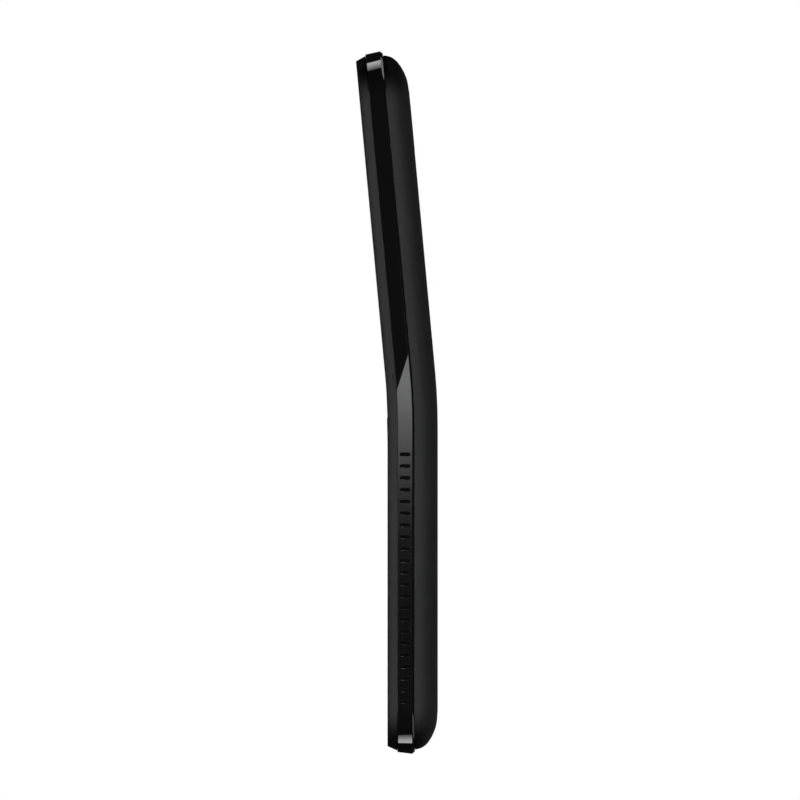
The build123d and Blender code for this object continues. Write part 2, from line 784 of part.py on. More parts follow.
# Chassis and what it carries
with BuildPart() as chassis:
    chassis_radius = corner_radius - chassis_step
    add(bent_prism(chassis_front, chassis_back, chassis_half_width, chassis_step, chassis_radius))
    near = chassis_front - cut_overrun
    far = chassis_back + cut_overrun
    add(bent_prism(near, plate_depth, hollow_half_width, hollow_step, hollow_radius), mode=Mode.SUBTRACT)
    add(bent_prism(plate_back, far, hollow_half_width, hollow_step, hollow_radius), mode=Mode.SUBTRACT)
    bay_width = battery_width + 2 * fit_gap
    bay_length = battery_length + 2 * fit_gap
    with BuildSketch(face_plane(LOWER, plate_back)):
        with Locations((0, battery_middle)):
            Rectangle(bay_width + 2 * bay_wall, bay_length + 2 * bay_wall)
            Rectangle(bay_width, bay_length, mode=Mode.SUBTRACT)
        with Locations((0, contact_middle)):
            Rectangle(contact_width + 2 * fit_gap, contact_length + 2 * fit_gap, mode=Mode.SUBTRACT)
    extrude(amount=-bay_height)
    with BuildSketch(face_plane(UPPER, plate_back)):
        with Locations((0, antenna_row)):
            Rectangle(antenna_width, antenna_length)
    extrude(amount=-antenna_carrier_height)
    with BuildSketch(face_plane(LOWER, far)):
        with Locations((0, -bend_start)):
            length = socket_low + socket_length + running_gap
            Rectangle(socket_width + 2 * running_gap, length, align=(Align.CENTER, Align.MIN))
        with Locations((mic_place, mic_row)):
            Rectangle(mic_width + 2 * running_gap, mic_length + 2 * running_gap)
    extrude(amount=far - near, mode=Mode.SUBTRACT)
    with BuildSketch(Plane.XY):
        with Locations((mic_place, front_y + port_depth)):
            Circle(mic_hole_radius)
    extrude(amount=hollow_step + fit_gap, mode=Mode.SUBTRACT)
    with BuildSketch(face_plane(UPPER, plate_back + cut_overrun)):
        with Locations((flex_place, lcd_low - flex_fold)):
            Rectangle(flex_width + 2 * flex_margin, flex_thickness + 2 * flex_margin)
    extrude(amount=plate_thickness + 2 * cut_overrun, mode=Mode.SUBTRACT)
    with BuildSketch(face_plane(MIDDLE, plate_back + cut_overrun)):
        with Locations((-flex_place, 0)):
            Rectangle(flex_width + 2 * flex_margin, flex_slot_length)
    extrude(amount=plate_thickness + 2 * cut_overrun, mode=Mode.SUBTRACT)
    for half, along, across, root in screw_rows:
        with BuildSketch(face_plane(half, plate_back + cut_overrun)):
            with Locations((-across, along), (across, along)):
                Circle(screw_radius + fit_gap)
        extrude(amount=plate_thickness + 2 * cut_overrun, mode=Mode.SUBTRACT)
write(chassis, "chassis")

with BuildPart() as screws:
    for half, along, across, root in screw_rows:
        with BuildSketch(face_plane(half, plate_back + head_height)):
            with Locations((-across, along), (across, along)):
                Circle(head_radius)
        extrude(amount=head_height)
        with BuildSketch(face_plane(half, plate_back)):
            with Locations((-across, along), (across, along)):
                Circle(screw_radius)
        extrude(amount=plate_thickness + screw_bite)
        with BuildSketch(face_plane(half, plate_back + head_height)):
            with Locations((-across, along), (across, along)):
                RegularPolygon(recess_radius, recess_sides)
        extrude(amount=recess_depth, mode=Mode.SUBTRACT)
write(screws, "screws")

with BuildPart() as battery:
    with BuildSketch(face_plane(LOWER, battery_depth)):
        with Locations((0, battery_middle)):
            Rectangle(battery_width, battery_length)
    extrude(amount=-battery_thickness)
    fillet(battery.edges().filter_by(Axis.Z), battery_radius)
write(battery, "battery")

with BuildPart() as battery_connector:
    with BuildSketch(face_plane(LOWER, plate_back)):
        with Locations((0, contact_middle)):
            Rectangle(contact_width, contact_length)
    extrude(amount=-bay_height)
    with BuildSketch(face_plane(LOWER, plate_back + bay_height)):
        with Locations((0, contact_middle)):
            with GridLocations(contact_pitch, contact_pitch, contact_count, 1):
                Rectangle(contact_blade_width, contact_length)
    extrude(amount=contact_blade_reach, mode=Mode.SUBTRACT)
write(battery_connector, "battery_connector")

with BuildPart() as board_flex:
    with BuildSketch(Plane.YZ.offset(-flex_place)):
        with BuildLine():
            low_depth = (key_board_depth + key_board_back) / 2
            high_depth = (main_board_depth + main_board_back) / 2
            low_along = field_top + membrane_margin
            FilletPolyline(
                half_point(LOWER, low_depth, low_along),
                half_point(LOWER, low_depth, low_along + flex_lead),
                half_point(UPPER, high_depth, main_board_low - flex_lead),
                half_point(UPPER, high_depth, main_board_low),
                radius=flex_bend,
            )
        trace(line_width=flex_thickness)
    extrude(amount=flex_width / 2, both=True)
write(board_flex, "board_flex")

with BuildPart() as display_flex:
    with BuildSketch(Plane.YZ.offset(flex_place)):
        with BuildLine():
            low_depth = backlight_depth - flex_thickness
            FilletPolyline(
                half_point(UPPER, low_depth, lcd_low),
                half_point(UPPER, low_depth, lcd_low - flex_fold),
                half_point(UPPER, high_depth, lcd_low - flex_fold),
                half_point(UPPER, high_depth, main_board_low),
                radius=flex_bend,
            )
        trace(line_width=flex_thickness)
    extrude(amount=flex_width / 2, both=True)
write(display_flex, "display_flex")

# Main board and its components
with BuildPart() as main_board:
    with BuildSketch(face_plane(UPPER, main_board_depth)):
        with Locations((0, main_board_low + main_board_length / 2)):
            RectangleRounded(main_board_width, main_board_length, main_board_radius)
        notch_low = weight_end - running_gap
        notch_high = motor_end + running_gap
        with Locations(((notch_low + notch_high) / 2, shield_row)):
            Rectangle(notch_high - notch_low, 2 * (motor_radius + running_gap), mode=Mode.SUBTRACT)
    extrude(amount=-main_board_thickness)
write(main_board, "main_board")

row_start = -socket_row_width / 2
for label, across, width in (
    ("sim_socket_1", row_start + sim_width / 2, sim_width),
    ("sim_socket_2", row_start + sim_width * 3 / 2 + socket_row_gap, sim_width),
    ("card_socket", row_start + 2 * (sim_width + socket_row_gap) + card_width / 2, card_width),
):
    with BuildPart() as card_holder:
        with BuildSketch(face_plane(UPPER, main_board_back)):
            with Locations((across, socket_row)):
                Rectangle(width, socket_row_length)
        extrude(amount=-socket_row_height)
        with BuildSketch(face_plane(UPPER, main_board_back + socket_row_height / 2 - card_slot_height / 2)):
            with Locations((across, socket_row - card_slot_wall)):
                Rectangle(width - 2 * card_slot_wall, socket_row_length)
        extrude(amount=-card_slot_height, mode=Mode.SUBTRACT)
    write(card_holder, label)

with BuildPart() as loudspeaker:
    speaker_height = rear_room * speaker_height_share
    with BuildSketch(face_plane(UPPER, main_board_back)):
        with Locations((0, speaker_row)):
            RectangleRounded(speaker_width, speaker_length, speaker_radius)
    extrude(amount=-speaker_height)
    with BuildSketch(face_plane(UPPER, main_board_back + speaker_height)):
        with Locations((0, speaker_row)):
            cone_width = speaker_width - 2 * speaker_rim
            cone_length = speaker_length - 2 * speaker_rim
            RectangleRounded(cone_width, cone_length, speaker_radius - speaker_rim)
    extrude(amount=speaker_rim_height, mode=Mode.SUBTRACT)
write(loudspeaker, "loudspeaker")

with BuildPart() as shield_can:
    with BuildSketch(face_plane(UPPER, main_board_back)):
        with Locations((shield_across, shield_row)):
            Rectangle(shield_width, shield_length)
    extrude(amount=-shield_height)
    with BuildSketch(face_plane(UPPER, main_board_back)):
        with Locations((shield_across, shield_row)):
            Rectangle(shield_width - 2 * sheet_thickness, shield_length - 2 * sheet_thickness)
    extrude(amount=sheet_thickness - shield_height, mode=Mode.SUBTRACT)
write(shield_can, "shield_can")

with BuildPart() as camera_module:
    with BuildSketch(face_plane(UPPER, main_board_back)):
        with Locations((0, camera_row)):
            Rectangle(camera_width, camera_width)
    extrude(amount=-rear_room * camera_base_share)
    with BuildSketch(face_plane(UPPER, main_board_back)):
        with Locations((0, camera_row)):
            Circle(barrel_radius)
    extrude(amount=-rear_room)
    with BuildSketch(face_plane(UPPER, main_board_back + rear_room)):
        with Locations((0, camera_row)):
            Circle(pupil_radius)
    extrude(amount=pupil_depth, mode=Mode.SUBTRACT)
write(camera_module, "camera_module")

with BuildPart() as flash_led:
    with BuildSketch(face_plane(UPPER, main_board_back)):
        with Locations((flash_across, camera_row)):
            Rectangle(flash_width, flash_width)
    extrude(amount=-flash_height)
write(flash_led, "flash_led")

motor_center = half_point(UPPER, motor_depth, shield_row)
with BuildPart() as vibration_motor:
    with BuildSketch(Plane.YZ.offset(motor_start)):
        with Locations(motor_center):
            Circle(motor_radius)
    extrude(amount=motor_length)
    with BuildSketch(Plane.YZ.offset(motor_start)):
        with Locations(motor_center):
            Circle(shaft_radius + rest_gap)
    extrude(amount=shaft_seat + rest_gap, mode=Mode.SUBTRACT)
write(vibration_motor, "vibration_motor")

with BuildPart() as motor_weight:
    with BuildSketch(Plane.YZ.offset(weight_end)):
        with Locations(motor_center):
            Circle(weight_radius)
            Rectangle(2 * weight_radius, weight_radius, align=(Align.CENTER, Align.MIN), mode=Mode.SUBTRACT)
    extrude(amount=weight_length)
    with BuildSketch(Plane.YZ.offset(weight_end)):
        with Locations(motor_center):
            Circle(shaft_radius)
    extrude(amount=weight_length + weight_gap + shaft_seat)
write(motor_weight, "motor_weight")

with BuildPart() as antenna:
    with BuildSketch(face_plane(UPPER, antenna_depth)):
        with Locations((0, antenna_row)):
            Rectangle(antenna_width, antenna_length)
        slit_length = antenna_length * antenna_slit_share
        for number in range(antenna_slit_count):
            across = antenna_width * ((number + 1) / (antenna_slit_count + 1) - 1 / 2)
            side = 1 if number % 2 else -1
            with Locations((across, antenna_row + side * (antenna_length - slit_length) / 2)):
                Rectangle(antenna_slit, slit_length, mode=Mode.SUBTRACT)
    extrude(amount=-antenna_thickness)
write(antenna, "antenna")
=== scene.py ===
import json
import math

import bpy
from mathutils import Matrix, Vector

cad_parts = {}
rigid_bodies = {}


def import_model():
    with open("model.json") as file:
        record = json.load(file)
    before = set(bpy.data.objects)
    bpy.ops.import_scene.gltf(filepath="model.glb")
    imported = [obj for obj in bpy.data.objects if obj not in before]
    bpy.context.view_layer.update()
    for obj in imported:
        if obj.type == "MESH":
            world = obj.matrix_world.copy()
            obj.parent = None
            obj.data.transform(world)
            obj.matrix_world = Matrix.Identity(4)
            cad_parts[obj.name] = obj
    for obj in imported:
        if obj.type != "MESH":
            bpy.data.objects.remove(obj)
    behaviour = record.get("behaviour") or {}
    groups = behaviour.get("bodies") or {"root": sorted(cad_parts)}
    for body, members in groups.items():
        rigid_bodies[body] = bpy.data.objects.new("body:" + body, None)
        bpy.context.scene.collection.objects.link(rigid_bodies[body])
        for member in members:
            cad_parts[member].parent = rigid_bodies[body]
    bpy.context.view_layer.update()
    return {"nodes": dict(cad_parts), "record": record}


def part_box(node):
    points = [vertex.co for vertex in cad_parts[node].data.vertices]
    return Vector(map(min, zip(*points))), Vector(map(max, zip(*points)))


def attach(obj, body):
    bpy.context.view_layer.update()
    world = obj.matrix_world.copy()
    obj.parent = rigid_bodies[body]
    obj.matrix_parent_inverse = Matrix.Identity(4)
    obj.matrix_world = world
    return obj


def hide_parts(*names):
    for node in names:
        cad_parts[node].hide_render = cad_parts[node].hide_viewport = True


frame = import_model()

nodes = frame["nodes"]
slotOf = {row["node"]: row["material_slot"] for row in frame["record"]["subparts"]}
bodyOf = {node: body for body, members in frame["record"]["behaviour"]["bodies"].items() for node in members}
mm = 0.001
weld = 1e-7  # points nearer than this become one
plainWhite = (1, 1, 1, 1)
plainBlack = (0, 0, 0, 1)
print("frame loaded:", len(nodes), "nodes")


# small helpers
def clearSelection():
    if bpy.context.mode != "OBJECT":
        bpy.ops.object.mode_set(mode="OBJECT")
    bpy.ops.object.select_all(action="DESELECT")


def makeActive(piece):
    clearSelection()
    piece.select_set(True)
    bpy.context.view_layer.objects.active = piece


def middle(nodeName):
    low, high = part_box(nodeName)
    return (low + high) / 2


def applyPlace(piece):
    makeActive(piece)
    bpy.ops.object.transform_apply(location=True, rotation=True, scale=True)


def finishPiece(piece, body, slot, material=None):
    piece.data.materials.clear()
    piece.data.materials.append(material or finishes[slot])
    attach(piece, body)
    return piece


# edit mode helpers
def editAll():
    bpy.ops.object.mode_set(mode="EDIT")
    bpy.ops.mesh.select_all(action="SELECT")


def pickNothing(kind):  # a clean start for picking vertices, edges or faces in code
    bpy.ops.object.mode_set(mode="EDIT")
    bpy.ops.mesh.select_mode(type=kind)
    bpy.ops.mesh.select_all(action="DESELECT")
    bpy.ops.object.mode_set(mode="OBJECT")


def extrudeAll(rise):
    bpy.ops.mesh.select_all(action="SELECT")
    bpy.ops.mesh.extrude_region_move(TRANSFORM_OT_translate={"value": (0, 0, rise)})


def closeEdit():  # every face turned outwards
    bpy.ops.mesh.select_all(action="SELECT")
    bpy.ops.mesh.normals_make_consistent(inside=False)
    bpy.ops.object.mode_set(mode="OBJECT")


def copyNode(nodeName, name):  # a node's mesh with its loose triangles merged
    piece = bpy.data.objects.new(name, nodes[nodeName].data.copy())
    bpy.context.scene.collection.objects.link(piece)
    makeActive(piece)
    bpy.ops.mesh.customdata_custom_splitnormals_clear()
    editAll()
    bpy.ops.mesh.remove_doubles(threshold=weld)
    bpy.ops.object.mode_set(mode="OBJECT")
    return piece


def addPlate(across, along):
    clearSelection()
    bpy.ops.mesh.primitive_plane_add(size=1)
    plate = bpy.context.object
    plate.scale = (across, along, 1)
    applyPlace(plate)
    return plate


def addFlatRing(look):
    clearSelection()
    bpy.ops.mesh.primitive_circle_add(vertices=look["around"], radius=look["outer"], fill_type="NGON")
    ring = bpy.context.object
    editAll()
    bpy.ops.mesh.inset(thickness=look["width"])
    bpy.ops.mesh.delete(type="FACE")  # the middle, left picked by the inset
    bpy.ops.object.mode_set(mode="OBJECT")
    return ring


# node helpers
mixSockets = dict(first=6, second=7, result=2)  # the colour sockets of a mix node


def addNode(tree, kind, **settings):
    node = tree.nodes.new(kind)
    for label, value in settings.items():
        setattr(node, label, value)
    return node


def addNoise(tree, vector, scale, detail):
    noise = addNode(tree, "ShaderNodeTexNoise")
    noise.inputs["Detail"].default_value = detail
    tree.links.new(vector, noise.inputs["Vector"])
    tree.links.new(scale, noise.inputs["Scale"])
    return noise.outputs["Fac"]


def spread(tree, mask, low, high, fromLow=0.0, fromHigh=1.0):
    node = addNode(tree, "ShaderNodeMapRange")
    tree.links.new(mask, node.inputs["Value"])
    node.inputs["From Min"].default_value = fromLow
    node.inputs["From Max"].default_value = fromHigh
    node.inputs["To Min"].default_value = low
    node.inputs["To Max"].default_value = high
    return node.outputs["Result"]


def combine(tree, operation, first, second):
    node = addNode(tree, "ShaderNodeMath", operation=operation)
    tree.links.new(first, node.inputs[0])
    tree.links.new(second, node.inputs[1])
    return node.outputs[0]


def tint(tree, mask, first, second):
    node = addNode(tree, "ShaderNodeMix", data_type="RGBA")
    tree.links.new(mask, node.inputs["Factor"])
    for label, color in (("first", first), ("second", second)):
        node.inputs[mixSockets[label]].default_value = (*color, 1)
    return node.outputs[mixSockets["result"]]


def raised(tree, shader, height, depth):
    bump = addNode(tree, "ShaderNodeBump")
    bump.inputs["Distance"].default_value = depth
    tree.links.new(height, bump.inputs["Height"])
    tree.links.new(bump.outputs["Normal"], shader.inputs["Normal"])


def stretched(tree, vector, shape):
    mapping = addNode(tree, "ShaderNodeMapping")
    mapping.inputs["Scale"].default_value = shape["stretch"]
    mapping.inputs["Rotation"].default_value = shape["turn"]
    tree.links.new(vector, mapping.inputs["Vector"])
    return mapping.outputs["Vector"]


def newGroup(name, scales, outputs):
    group = bpy.data.node_groups.new(name, "ShaderNodeTree")
    group.interface.new_socket(name="Vector", in_out="INPUT", socket_type="NodeSocketVector")
    for way, labels in (("INPUT", scales), ("OUTPUT", outputs)):
        for label in labels:
            group.interface.new_socket(name=label, in_out=way, socket_type="NodeSocketFloat")
    return group, group.nodes.new("NodeGroupInput"), group.nodes.new("NodeGroupOutput")


def putOut(group, target, **results):
    for label, result in results.items():
        group.links.new(result, target.inputs[label])
    return group


def useGroup(tree, group, vector, **values):
    node = addNode(tree, "ShaderNodeGroup", node_tree=group)
    tree.links.new(vector, node.inputs["Vector"])
    for label, value in values.items():
        node.inputs[label].default_value = value
    return node


# shared effects, each built once: details are noise octaves, pairs are the noise range that is spread out
grainShape = dict(fineDetail=3, broadDetail=5, rub=(0.36, 0.64), tone=(0.12, 0.4))
handlingShape = dict(stretch=(1, 1, 0.06), turn=(0.4, 0.3, 0), lineDetail=2, broadDetail=4,
                     lines=(0.62, 0.74), rub=(0.38, 0.66))
brushShape = dict(stretch=(1, 1, 0.03), turn=(0, 0, 0), lineDetail=3, broadDetail=4, rub=(0.36, 0.66))


def buildMouldGrain():
    group, source, target = newGroup("mouldGrain", ("Grain", "Smudge"), ("Height", "Tone", "Rub"))
    vector = source.outputs["Vector"]
    fine = addNoise(group, vector, source.outputs["Grain"], grainShape["fineDetail"])
    broad = addNoise(group, vector, source.outputs["Smudge"], grainShape["broadDetail"])
    rub = spread(group, broad, 0, 1, *grainShape["rub"])
    blend = combine(group, "MULTIPLY", fine, broad)
    tone = spread(group, blend, 0, 1, *grainShape["tone"])
    return putOut(group, target, Height=fine, Tone=tone, Rub=rub)


def buildHandling():
    group, source, target = newGroup("handlingMarks", ("Scratch", "Smudge"), ("Height", "Rub", "Lines"))
    vector = source.outputs["Vector"]
    drawn = stretched(group, vector, handlingShape)
    lines = addNoise(group, drawn, source.outputs["Scratch"], handlingShape["lineDetail"])
    thin = spread(group, lines, 0, 1, *handlingShape["lines"])
    broad = addNoise(group, vector, source.outputs["Smudge"], handlingShape["broadDetail"])
    rub = spread(group, broad, 0, 1, *handlingShape["rub"])
    return putOut(group, target, Height=broad, Rub=rub, Lines=thin)


def buildBrushLines():
    group, source, target = newGroup("brushLines", ("Lines", "Smudge"), ("Height", "Tone", "Rub"))
    vector = source.outputs["Vector"]
    drawn = stretched(group, vector, brushShape)
    lines = addNoise(group, drawn, source.outputs["Lines"], brushShape["lineDetail"])
    broad = addNoise(group, vector, source.outputs["Smudge"], brushShape["broadDetail"])
    rub = spread(group, broad, 0, 1, *brushShape["rub"])
    return putOut(group, target, Height=lines, Tone=lines, Rub=rub)


mouldGrain = buildMouldGrain()
handlingMarks = buildHandling()
brushLines = buildBrushLines()
print("shared effects built")


# finishes
plainShader = dict(metallic=0, specular=0.5, ior=1.5)  # where a look says nothing else


def startMaterial(name, look):
    values = dict(plainShader, **look)
    material = bpy.data.materials.new(name)
    material.use_nodes = True
    tree = material.node_tree
    shader = tree.nodes["Principled BSDF"]
    for label, value in (("Metallic", "metallic"), ("Specular IOR Level", "specular"), ("IOR", "ior")):
        shader.inputs[label].default_value = values[value]
    coords = addNode(tree, "ShaderNodeTexCoord")
    return material, tree, shader, coords.outputs["Object"]


def paint(tree, shader, look, tone, rub, height=None):
    color = tint(tree, tone, look["dark"], look["light"])
    tree.links.new(color, shader.inputs["Base Color"])
    rough = spread(tree, rub, *look["rough"])
    tree.links.new(rough, shader.inputs["Roughness"])
    if height is not None:
        raised(tree, shader, height, look["depth"])


def mouldedPlastic(name, look):
    material, tree, shader, vector = startMaterial(name, look)
    grain = useGroup(tree, mouldGrain, vector, Grain=look["grain"], Smudge=look["smudge"]).outputs
    paint(tree, shader, look, grain["Tone"], grain["Rub"], grain["Height"])
    return material


def polishedPlastic(name, look):
    material, tree, shader, vector = startMaterial(name, look)
    marks = useGroup(tree, handlingMarks, vector, Scratch=look["scratch"], Smudge=look["smudge"]).outputs
    paint(tree, shader, look, marks["Lines"], marks["Rub"], marks["Height"])
    return material


def brushedMetal(name, look):
    material, tree, shader, vector = startMaterial(name, dict(look, metallic=1))
    lines = useGroup(tree, brushLines, vector, Lines=look["lines"], Smudge=look["smudge"]).outputs
    paint(tree, shader, look, lines["Tone"], lines["Rub"], lines["Height"])
    return material


def clearPane(name, look):
    material, tree, shader, vector = startMaterial(name, look)
    marks = useGroup(tree, handlingMarks, vector, Scratch=look["scratch"], Smudge=look["smudge"]).outputs
    paint(tree, shader, look, marks["Rub"], marks["Lines"])
    shader.inputs["Transmission Weight"].default_value = look["clear"]
    return material


def circuitBoard(name, look):
    material, tree, shader, vector = startMaterial(name, look)
    cells = addNode(tree, "ShaderNodeTexVoronoi", distance="MANHATTAN", feature="F1")
    cells.inputs["Scale"].default_value = look["cells"]
    tree.links.new(vector, cells.inputs["Vector"])
    ripple = addNode(tree, "ShaderNodeMath", operation="PINGPONG")
    tree.links.new(cells.outputs["Distance"], ripple.inputs[0])
    ripple.inputs[1].default_value = look["spacing"]
    edges = [look["spacing"] * share for share in look["traceShares"]]
    traces = spread(tree, ripple.outputs[0], 0, 1, *edges)
    paint(tree, shader, look, traces, traces, traces)
    return material


def wovenMesh(name, look):
    material, tree, shader, vector = startMaterial(name, dict(look, metallic=1))
    threads = []
    for way in ("X", "Z"):
        wave = addNode(tree, "ShaderNodeTexWave", bands_direction=way)
        wave.inputs["Scale"].default_value = look["threads"]
        tree.links.new(vector, wave.inputs["Vector"])
        threads.append(wave.outputs["Fac"])
    weave = combine(tree, "MAXIMUM", *threads)
    paint(tree, shader, look, weave, weave, weave)
    return material


plasticLooks = {
    "front_black": dict(dark=(0.032, 0.032, 0.033), light=(0.038, 0.038, 0.039), rough=(0.44, 0.5),
                        grain=9000, smudge=60, depth=3e-6, specular=0.02),
    "cover_black": dict(dark=(0.031, 0.031, 0.032), light=(0.037, 0.037, 0.038), rough=(0.46, 0.52),
                        grain=7500, smudge=55, depth=4e-6, specular=0.02),
    "chassis_plastic": dict(dark=(0.02, 0.02, 0.021), light=(0.034, 0.034, 0.036), rough=(0.5, 0.62),
                            grain=5000, smudge=80, depth=6e-6),
    "connector_black": dict(dark=(0.018, 0.018, 0.018), light=(0.03, 0.03, 0.03), rough=(0.45, 0.6),
                            grain=6000, smudge=200, depth=5e-6),
    "camera_black": dict(dark=(0.01, 0.01, 0.011), light=(0.02, 0.02, 0.021), rough=(0.35, 0.5),
                         grain=8000, smudge=300, depth=3e-6),
    "speaker_black": dict(dark=(0.015, 0.015, 0.016), light=(0.03, 0.03, 0.031), rough=(0.45, 0.6),
                          grain=6000, smudge=220, depth=5e-6),
    "capsule_black": dict(dark=(0.012, 0.012, 0.013), light=(0.024, 0.024, 0.025), rough=(0.3, 0.45),
                          grain=7000, smudge=250, depth=3e-6),
    "foam_black": dict(dark=(0.002, 0.002, 0.002), light=(0.006, 0.006, 0.006), rough=(0.85, 0.95),
                       grain=4000, smudge=300, depth=2e-5, specular=0.05),
    "silicone": dict(dark=(0.52, 0.52, 0.5), light=(0.68, 0.68, 0.66), rough=(0.4, 0.55),
                     grain=3000, smudge=120, depth=4e-6),
    "battery_pack": dict(dark=(0.1, 0.105, 0.115), light=(0.15, 0.157, 0.17), rough=(0.3, 0.42),
                         grain=2500, smudge=90, depth=4e-6),
    "flex_amber": dict(dark=(0.32, 0.12, 0.025), light=(0.46, 0.2, 0.05), rough=(0.25, 0.4),
                       grain=1500, smudge=150, depth=4e-6),
}
glossLooks = {
    "band_chrome": dict(dark=(0.0022, 0.0022, 0.0023), light=(0.0034, 0.0034, 0.0036), rough=(0.035, 0.055),
                        scratch=5200, smudge=140, depth=6e-7, ior=2.8),
    "key_black": dict(dark=(0.012, 0.012, 0.013), light=(0.02, 0.02, 0.021), rough=(0.16, 0.28),
                      scratch=4200, smudge=170, depth=3e-6),
    "nav_black": dict(dark=(0.02, 0.02, 0.021), light=(0.032, 0.032, 0.033), rough=(0.12, 0.22),
                      scratch=4200, smudge=170, depth=2e-6),
    "led_white": dict(dark=(0.78, 0.76, 0.62), light=(0.86, 0.85, 0.74), rough=(0.2, 0.35),
                      scratch=3000, smudge=400, depth=3e-6),
}
metalLooks = {
    "grip_metal": dict(dark=(0.36, 0.362, 0.367), light=(0.43, 0.432, 0.438), rough=(0.12, 0.15),
                       lines=9000, smudge=120, depth=1.5e-6),
    "tray_steel": dict(dark=(0.5, 0.5, 0.52), light=(0.66, 0.66, 0.68), rough=(0.25, 0.4),
                       lines=6000, smudge=90, depth=2e-6),
    "dome_steel": dict(dark=(0.55, 0.54, 0.5), light=(0.7, 0.69, 0.65), rough=(0.18, 0.3),
                       lines=8000, smudge=300, depth=2e-6),
    "socket_steel": dict(dark=(0.52, 0.52, 0.53), light=(0.68, 0.68, 0.69), rough=(0.22, 0.38),
                         lines=6500, smudge=140, depth=3e-6),
    "capsule_steel": dict(dark=(0.5, 0.48, 0.42), light=(0.64, 0.62, 0.54), rough=(0.25, 0.4),
                          lines=7000, smudge=300, depth=2e-6),
    "shield_steel": dict(dark=(0.58, 0.58, 0.59), light=(0.72, 0.72, 0.73), rough=(0.24, 0.42),
                         lines=5200, smudge=120, depth=3e-6),
    "motor_steel": dict(dark=(0.5, 0.5, 0.51), light=(0.66, 0.66, 0.67), rough=(0.2, 0.34),
                        lines=7000, smudge=240, depth=2e-6),
    "weight_metal": dict(dark=(0.36, 0.35, 0.34), light=(0.48, 0.47, 0.46), rough=(0.4, 0.55),
                         lines=3000, smudge=500, depth=6e-6),
    "antenna_gold": dict(dark=(0.62, 0.45, 0.2), light=(0.78, 0.6, 0.32), rough=(0.2, 0.34),
                         lines=6000, smudge=200, depth=2e-6),
    "screw_steel": dict(dark=(0.2, 0.2, 0.21), light=(0.34, 0.34, 0.35), rough=(0.28, 0.45),
                        lines=9000, smudge=500, depth=3e-6),
}
paneLooks = {
    "window_glass": dict(dark=(0.02, 0.02, 0.024), light=(0.03, 0.03, 0.034), rough=(0.02, 0.08),
                         scratch=5000, smudge=200, clear=0.6, ior=1.52),
    "flash_clear": dict(dark=(0.9, 0.89, 0.82), light=(0.96, 0.95, 0.9), rough=(0.12, 0.22),
                        scratch=3000, smudge=400, clear=0.7, ior=1.49),
    "lens_acrylic": dict(dark=(0.05, 0.05, 0.054), light=(0.06, 0.06, 0.065), rough=(0.02, 0.07),
                         scratch=5200, smudge=70, clear=0.85, ior=1.49),
    "display_glass": dict(dark=(0.006, 0.006, 0.008), light=(0.009, 0.009, 0.012), rough=(0.08, 0.14),
                          scratch=4800, smudge=60, clear=0, ior=1.5),
}
boardLooks = {
    "board_green": dict(dark=(0.012, 0.1, 0.04), light=(0.03, 0.2, 0.085), rough=(0.3, 0.42),
                        cells=180, spacing=0.09, traceShares=(0.45, 0.6), depth=6e-6),
}
meshLooks = {
    "steel_mesh": dict(dark=(0.02, 0.02, 0.021), light=(0.3, 0.3, 0.31), rough=(0.35, 0.6),
                       threads=1300, depth=2e-5),
}
makers = ((mouldedPlastic, plasticLooks), (polishedPlastic, glossLooks), (brushedMetal, metalLooks),
          (clearPane, paneLooks), (circuitBoard, boardLooks), (wovenMesh, meshLooks))
finishes = {slot: maker(slot, look) for maker, looks in makers for slot, look in looks.items()}
for nodeName, node in nodes.items():
    node.data.materials.clear()
    node.data.materials.append(finishes[slotOf[nodeName]])
print("finishes on", len(nodes), "nodes")


# outer pieces with their edges rounded, each in place of its node: angles in degrees
shellEdge = dict(width=0.09 * mm, steps=3, sharp=38, smooth=32)
bandEdge = dict(width=0.04 * mm, steps=3, sharp=30, smooth=28)
keyEdge = dict(width=0.07 * mm, steps=3, sharp=38, smooth=32, slots=("key_black", "nav_black"))


def dressNode(nodeName, edge):
    piece = copyNode(nodeName, "dressed_" + nodeName)
    rounding = piece.modifiers.new("rounding", "BEVEL")
    rounding.width = edge["width"]
    rounding.segments = edge["steps"]
    rounding.limit_method = "ANGLE"
    rounding.angle_limit = math.radians(edge["sharp"])
    rounding.use_clamp_overlap = False
    bpy.ops.object.modifier_apply(modifier=rounding.name)
    bpy.ops.object.shade_smooth_by_angle(angle=math.radians(edge["smooth"]))
    evening = piece.modifiers.new("evening", "WEIGHTED_NORMAL")
    evening.keep_sharp = True
    bpy.ops.object.modifier_apply(modifier=evening.name)
    finishPiece(piece, bodyOf[nodeName], slotOf[nodeName])
    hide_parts(nodeName)
    return piece


roundedEdges = {"front_housing": shellEdge, "display_lens": shellEdge, "side_band": bandEdge}
roundedEdges.update({name: keyEdge for name in nodes if slotOf[name] in keyEdge["slots"]})
for nodeName, edge in roundedEdges.items():
    dressNode(nodeName, edge)
print("edges rounded on", len(roundedEdges), "pieces")


# seam fills: thin strips that close the parting gaps round both ends of the band; the closing is real shape,
# and their near-black colour is painted shade in the seam
seamShadeFill = dict(thick=0.1 * mm, facing=0.9, reach=15 * mm, aside=15 * mm)


